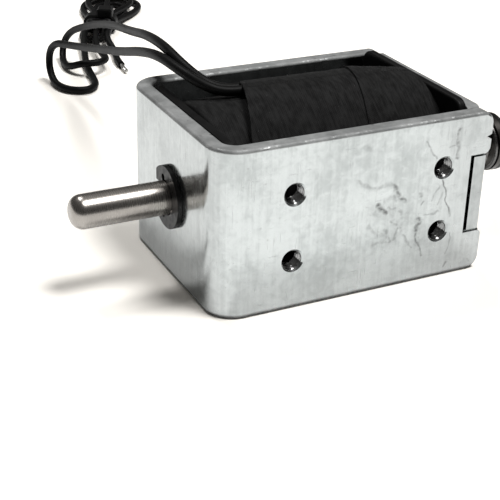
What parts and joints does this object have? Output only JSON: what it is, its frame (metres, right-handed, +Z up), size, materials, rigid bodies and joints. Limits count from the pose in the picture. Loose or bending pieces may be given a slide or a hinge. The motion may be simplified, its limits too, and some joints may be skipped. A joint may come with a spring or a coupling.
{
  "type": "push-pull solenoid",
  "caption": "Open-frame push-pull solenoid: a bent U frame around a taped coil, with a sliding core that pushes a rounded rod out of the front and a cone spring that returns it.",
  "frame": {"origin": "under the middle of the rod and frame, on the surface that the frame stands on", "axes": "+X along the rod from its tip to the return spring, +Z up, the leg with the mounting holes at -Y"},
  "size_m": [0.073, 0.1767, 0.0301],
  "materials": {
    "zinc_steel": "bright zinc plate, cloudy and lightly scratched",
    "core_steel": "turned and nickel plated",
    "polished_rod": "ground and polished stainless",
    "black_clip": "black oxide spring steel",
    "spring_wire": "drawn wire",
    "sleeve_brass": "drawn tube",
    "black_nylon": "moulded, dull",
    "copper_wire": "enamelled winding wire",
    "cloth_tape": "woven cloth tape, matt",
    "lead_jacket": "extruded jacket, satin",
    "tie_plastic": "moulded strap",
    "tinned_wire": "tinned strands",
    "washer_rubber": "die-cut sheet"
  },
  "bodies": {
    "body": {"frame": "zinc_steel", "rear_plate": "zinc_steel", "pole_piece": "core_steel", "guide_sleeve": "sleeve_brass", "bobbin": "black_nylon", "coil_winding": "copper_wire", "inner_tape": "cloth_tape", "outer_tape_front": "cloth_tape", "outer_tape_rear": "cloth_tape", "splice_a": "lead_jacket", "splice_b": "lead_jacket", "return_spring": "spring_wire", "lead_a": "lead_jacket", "lead_b": "lead_jacket", "lead_a_tail": "lead_jacket", "lead_b_tail": "lead_jacket", "lead_a_tip": "tinned_wire", "lead_b_tip": "tinned_wire", "lead_hank": "lead_jacket", "hank_tie": "tie_plastic"},
    "plunger_group": {"plunger": "core_steel", "push_rod": "polished_rod", "damping_washer": "washer_rubber", "front_e_clip": "black_clip", "rear_e_clip": "black_clip", "spring_seat": "core_steel"}
  },
  "joints": [
    {"name": "plunger_slide", "type": "slide", "parent": "body", "child": "plunger_group", "axis": [-1, 0, 0], "range_m": [0, 0.01], "stiffness_N_per_m": 150, "springref_m": -0.004, "deforming": ["return_spring"]}
  ]
}
